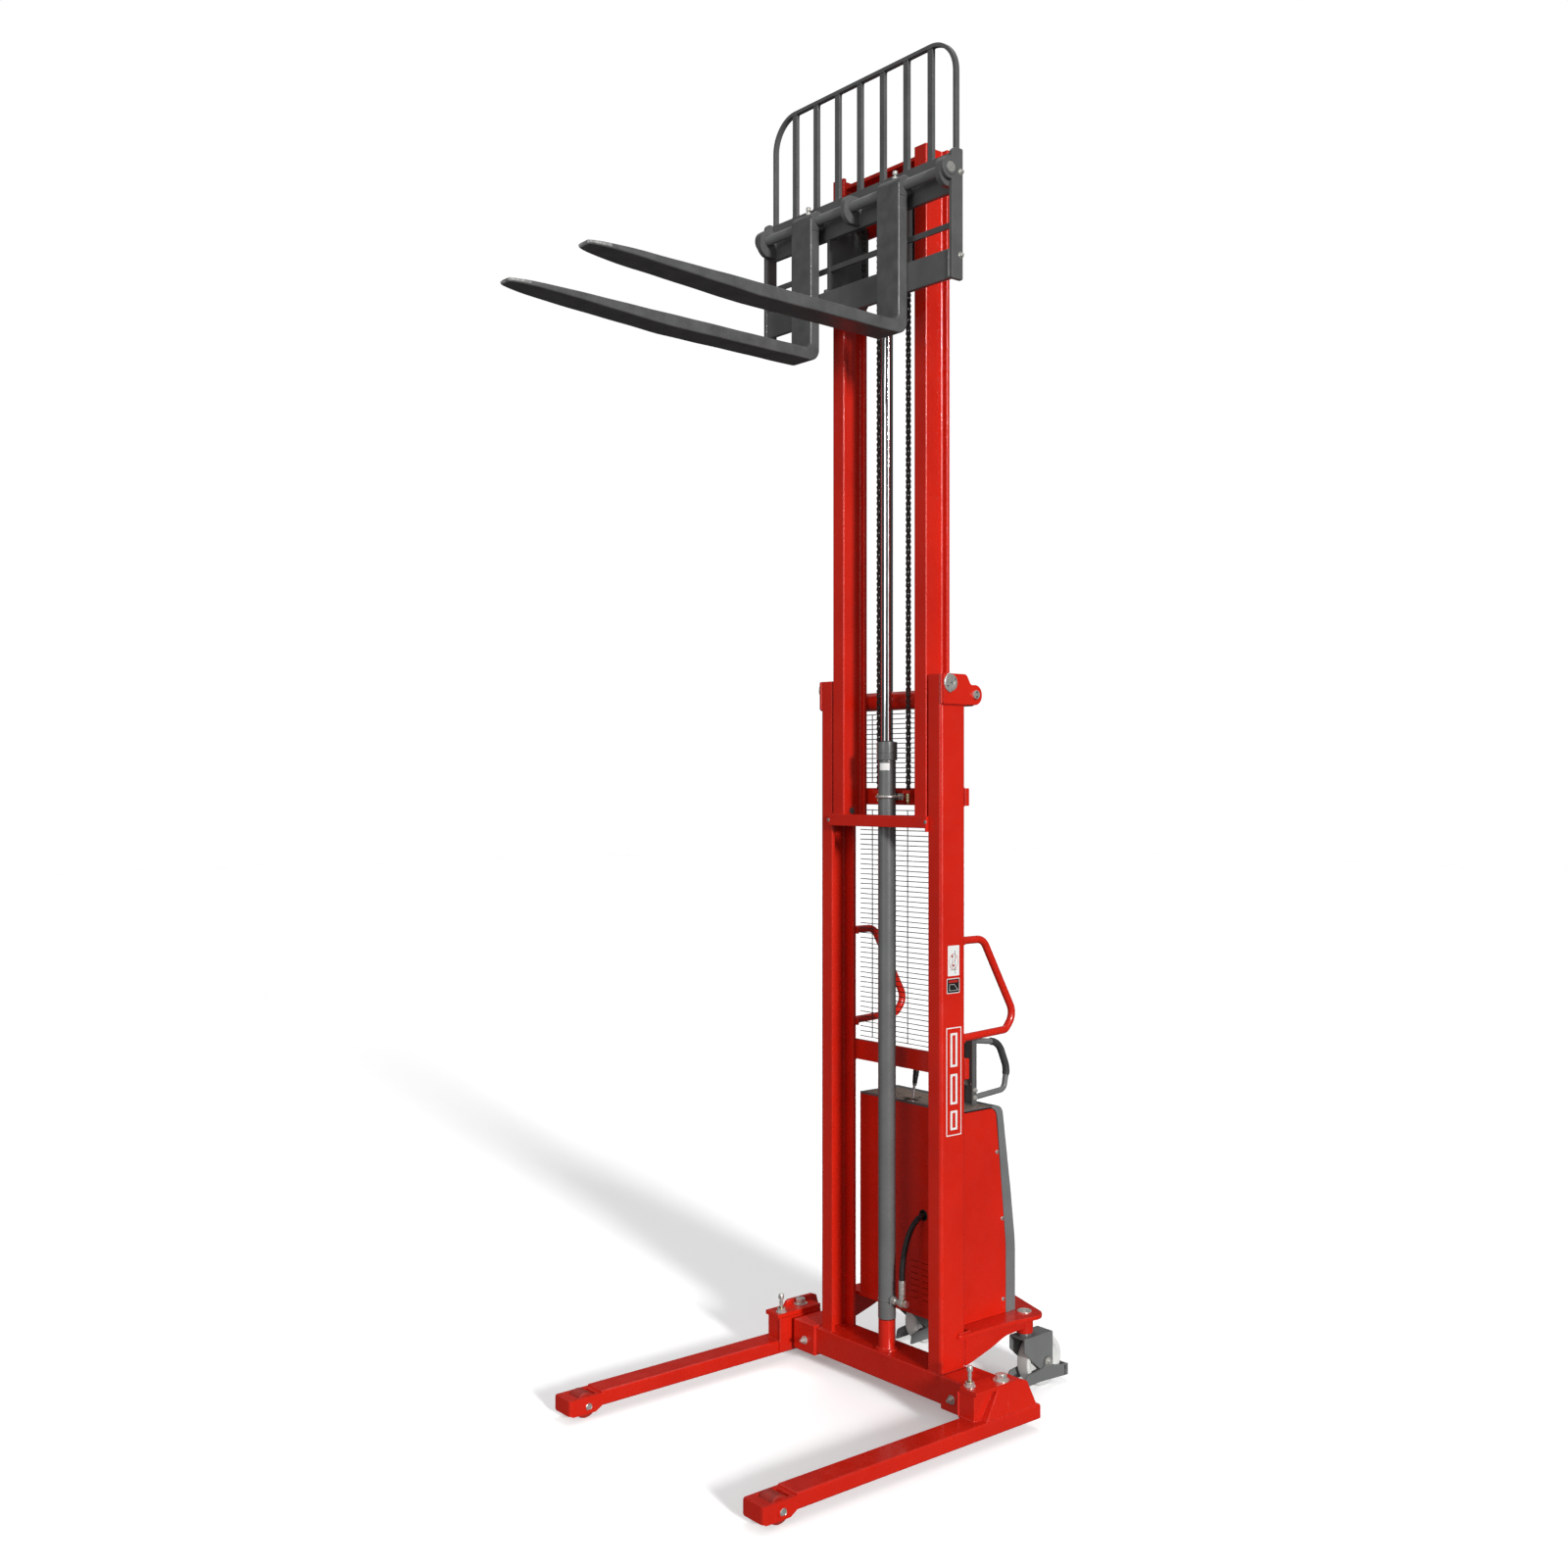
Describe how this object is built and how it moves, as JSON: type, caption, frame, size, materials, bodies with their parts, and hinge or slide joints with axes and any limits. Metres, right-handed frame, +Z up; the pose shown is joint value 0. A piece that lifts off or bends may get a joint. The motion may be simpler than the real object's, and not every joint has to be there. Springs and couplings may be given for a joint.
{
  "type": "walkie stacker",
  "caption": "Manual-propelled pallet stacker with a two-stage chain-lift mast raised on its cylinder, forks, load backrest, straddle legs and a power pack on braked casters.",
  "frame": {"origin": "on the floor, under the middle of the width and of the length", "axes": "+Z up, -Y the way the forks point, +Y to the operator, +X to the operator's left"},
  "size_m": [0.934, 1.65, 3.81],
  "materials": {
    "red_paint": "gloss",
    "grey_paint": "satin",
    "barrel_paint": "satin",
    "chrome_rod": "mirror polished",
    "zinc_plate": "zinc plated",
    "bare_steel": "machined",
    "black_steel": "satin black",
    "white_nylon": "smooth",
    "red_polyurethane": "smooth",
    "black_rubber": "matt",
    "black_plastic": "satin"
  },
  "bodies": {
    "chassis": {"base_crossbeam": "red_paint", "outer_mast_frame": "red_paint", "base_plate": "red_paint", "power_pack_housing": "red_paint", "rear_cover": "grey_paint", "battery": "black_plastic", "oil_tank": "black_steel", "valve_block": "bare_steel", "pump_motor": "black_steel", "mesh_guard_upper": "black_steel", "mesh_guard_lower": "black_steel", "push_handle_left": "red_paint", "push_handle_right": "red_paint", "side_handle_post": "grey_paint", "side_handle": "grey_paint", "cylinder_barrel": "barrel_paint", "cylinder_gland": "barrel_paint", "cylinder_clamp": "zinc_plate", "hose_fitting": "zinc_plate", "hydraulic_hose": "black_rubber", "chain_rear_left": "black_steel", "chain_rear_right": "black_steel"},
    "inner_mast": {"inner_mast_frame": "red_paint", "piston_rod": "chrome_rod", "pulley_axle": "bare_steel", "chain_front_left": "black_steel", "chain_front_right": "black_steel"},
    "carriage": {"carriage_frame": "grey_paint", "load_backrest": "grey_paint", "fork_shaft": "grey_paint"},
    "lift_lever": {"control_lever": "chrome_rod"},
    "main_key": {"key_switch": "black_plastic"},
    "pulley_left": {"chain_pulley_left": "bare_steel"},
    "outer_roller_left": {"outer_mast_roller_left": "bare_steel"},
    "inner_roller_left": {"inner_mast_roller_left": "bare_steel"},
    "lower_roller_left": {"carriage_roller_lower_left": "bare_steel"},
    "upper_roller_left": {"carriage_roller_upper_left": "bare_steel"},
    "fork_arm_left": {"fork_left": "grey_paint", "fork_lock_screw_left": "zinc_plate"},
    "leg_left": {"straddle_leg_left": "red_paint", "load_wheel_axle_left": "bare_steel"},
    "load_roll_left": {"load_wheel_left": "red_polyurethane"},
    "leg_pin_left": {"leg_lock_pin_left": "zinc_plate"},
    "swivel_left": {"caster_fork_left": "grey_paint"},
    "rear_wheel_left": {"caster_wheel_left": "white_nylon"},
    "brake_left": {"brake_pedal_left": "grey_paint"},
    "pulley_right": {"chain_pulley_right": "bare_steel"},
    "outer_roller_right": {"outer_mast_roller_right": "bare_steel"},
    "inner_roller_right": {"inner_mast_roller_right": "bare_steel"},
    "lower_roller_right": {"carriage_roller_lower_right": "bare_steel"},
    "upper_roller_right": {"carriage_roller_upper_right": "bare_steel"},
    "fork_arm_right": {"fork_right": "grey_paint", "fork_lock_screw_right": "zinc_plate"},
    "leg_right": {"straddle_leg_right": "red_paint", "load_wheel_axle_right": "bare_steel"},
    "load_roll_right": {"load_wheel_right": "red_polyurethane"},
    "leg_pin_right": {"leg_lock_pin_right": "zinc_plate"},
    "swivel_right": {"caster_fork_right": "grey_paint"},
    "rear_wheel_right": {"caster_wheel_right": "white_nylon"},
    "brake_right": {"brake_pedal_right": "grey_paint"}
  },
  "joints": [
    {"name": "mast_lift", "type": "slide", "parent": "chassis", "child": "inner_mast", "axis": [0, 0, 1], "range_m": [-1.5, 0], "deforming": ["chain_rear_left", "chain_rear_right"]},
    {"name": "carriage_lift", "type": "slide", "parent": "inner_mast", "child": "carriage", "axis": [0, 0, 1], "range_m": [-1.5, 0], "deforming": ["chain_front_left", "chain_front_right"]},
    {"name": "chain_pulley_spin_left", "type": "hinge", "parent": "inner_mast", "child": "pulley_left", "pos_m": [0.062, 0.3355, 3.462], "axis": [1, 0, 0], "continuous": true},
    {"name": "outer_roller_spin_left", "type": "hinge", "parent": "chassis", "child": "outer_roller_left", "pos_m": [0.1925, 0.351, 2.045], "axis": [1, 0, 0], "continuous": true},
    {"name": "inner_roller_spin_left", "type": "hinge", "parent": "inner_mast", "child": "inner_roller_left", "pos_m": [0.2225, 0.354, 1.7], "axis": [1, 0, 0], "continuous": true},
    {"name": "lower_roller_spin_left", "type": "hinge", "parent": "carriage", "child": "lower_roller_left", "pos_m": [0.154, 0.351, 3.24], "axis": [1, 0, 0], "continuous": true},
    {"name": "upper_roller_spin_left", "type": "hinge", "parent": "carriage", "child": "upper_roller_left", "pos_m": [0.154, 0.351, 3.41], "axis": [1, 0, 0], "continuous": true},
    {"name": "fork_shift_left", "type": "slide", "parent": "carriage", "child": "fork_arm_left", "axis": [1, 0, 0], "range_m": [-0.12, 0.13]},
    {"name": "leg_shift_left", "type": "slide", "parent": "chassis", "child": "leg_left", "axis": [1, 0, 0], "range_m": [-0.015, 0.1]},
    {"name": "load_wheel_spin_left", "type": "hinge", "parent": "leg_left", "child": "load_roll_left", "pos_m": [0.426, -0.442, 0.0355], "axis": [1, 0, 0], "continuous": true},
    {"name": "leg_pin_lift_left", "type": "slide", "parent": "leg_left", "child": "leg_pin_left", "axis": [0, 0, 1], "range_m": [0, 0.012], "stiffness_N_per_m": 700, "springref_m": -0.012},
    {"name": "caster_swivel_left", "type": "hinge", "parent": "chassis", "child": "swivel_left", "pos_m": [0.237, 0.671, 0.158], "axis": [0, 0, 1], "continuous": true},
    {"name": "caster_wheel_spin_left", "type": "hinge", "parent": "swivel_left", "child": "rear_wheel_left", "pos_m": [0.237, 0.735, 0.075], "axis": [1, 0, 0], "continuous": true},
    {"name": "brake_pedal_tilt_left", "type": "hinge", "parent": "swivel_left", "child": "brake_left", "pos_m": [0.237, 0.735, 0.075], "axis": [1, 0, 0], "range_deg": [-8, 0]},
    {"name": "chain_pulley_spin_right", "type": "hinge", "parent": "inner_mast", "child": "pulley_right", "pos_m": [-0.062, 0.3355, 3.462], "axis": [1, 0, 0], "continuous": true},
    {"name": "outer_roller_spin_right", "type": "hinge", "parent": "chassis", "child": "outer_roller_right", "pos_m": [-0.1925, 0.351, 2.045], "axis": [1, 0, 0], "continuous": true},
    {"name": "inner_roller_spin_right", "type": "hinge", "parent": "inner_mast", "child": "inner_roller_right", "pos_m": [-0.2225, 0.354, 1.7], "axis": [1, 0, 0], "continuous": true},
    {"name": "lower_roller_spin_right", "type": "hinge", "parent": "carriage", "child": "lower_roller_right", "pos_m": [-0.154, 0.351, 3.24], "axis": [1, 0, 0], "continuous": true},
    {"name": "upper_roller_spin_right", "type": "hinge", "parent": "carriage", "child": "upper_roller_right", "pos_m": [-0.154, 0.351, 3.41], "axis": [1, 0, 0], "continuous": true},
    {"name": "fork_shift_right", "type": "slide", "parent": "carriage", "child": "fork_arm_right", "axis": [1, 0, 0], "range_m": [-0.13, 0.12]},
    {"name": "leg_shift_right", "type": "slide", "parent": "chassis", "child": "leg_right", "axis": [1, 0, 0], "range_m": [-0.1, 0.015]},
    {"name": "load_wheel_spin_right", "type": "hinge", "parent": "leg_right", "child": "load_roll_right", "pos_m": [-0.426, -0.442, 0.0355], "axis": [1, 0, 0], "continuous": true},
    {"name": "leg_pin_lift_right", "type": "slide", "parent": "leg_right", "child": "leg_pin_right", "axis": [0, 0, 1], "range_m": [0, 0.012], "stiffness_N_per_m": 700, "springref_m": -0.012},
    {"name": "caster_swivel_right", "type": "hinge", "parent": "chassis", "child": "swivel_right", "pos_m": [-0.237, 0.671, 0.158], "axis": [0, 0, 1], "continuous": true},
    {"name": "caster_wheel_spin_right", "type": "hinge", "parent": "swivel_right", "child": "rear_wheel_right", "pos_m": [-0.237, 0.735, 0.075], "axis": [1, 0, 0], "continuous": true},
    {"name": "brake_pedal_tilt_right", "type": "hinge", "parent": "swivel_right", "child": "brake_right", "pos_m": [-0.237, 0.735, 0.075], "axis": [1, 0, 0], "range_deg": [-8, 0]},
    {"name": "lift_lever_tilt", "type": "hinge", "parent": "chassis", "child": "lift_lever", "pos_m": [-0.02, 0.457, 0.802], "axis": [1, 0, 0], "range_deg": [-20, 20], "stiffness_Nm_per_rad": 1.5},
    {"name": "main_key_turn", "type": "hinge", "parent": "chassis", "child": "main_key", "pos_m": [-0.14, 0.465, 0.841], "axis": [0, 0, 1], "range_deg": [-90, 0]}
  ],
  "couplings": [
    {"joint": "carriage_lift", "follows": "mast_lift", "ratio": 1},
    {"joint": "chain_pulley_spin_left", "follows": "mast_lift", "rad_per_m": -32.787},
    {"joint": "outer_roller_spin_left", "follows": "mast_lift", "rad_per_m": -28.169},
    {"joint": "inner_roller_spin_left", "follows": "mast_lift", "rad_per_m": -27.397},
    {"joint": "lower_roller_spin_left", "follows": "mast_lift", "rad_per_m": -28.169},
    {"joint": "upper_roller_spin_left", "follows": "mast_lift", "rad_per_m": 28.169},
    {"joint": "chain_pulley_spin_right", "follows": "mast_lift", "rad_per_m": -32.787},
    {"joint": "outer_roller_spin_right", "follows": "mast_lift", "rad_per_m": -28.169},
    {"joint": "inner_roller_spin_right", "follows": "mast_lift", "rad_per_m": -27.397},
    {"joint": "lower_roller_spin_right", "follows": "mast_lift", "rad_per_m": -28.169},
    {"joint": "upper_roller_spin_right", "follows": "mast_lift", "rad_per_m": 28.169}
  ]
}
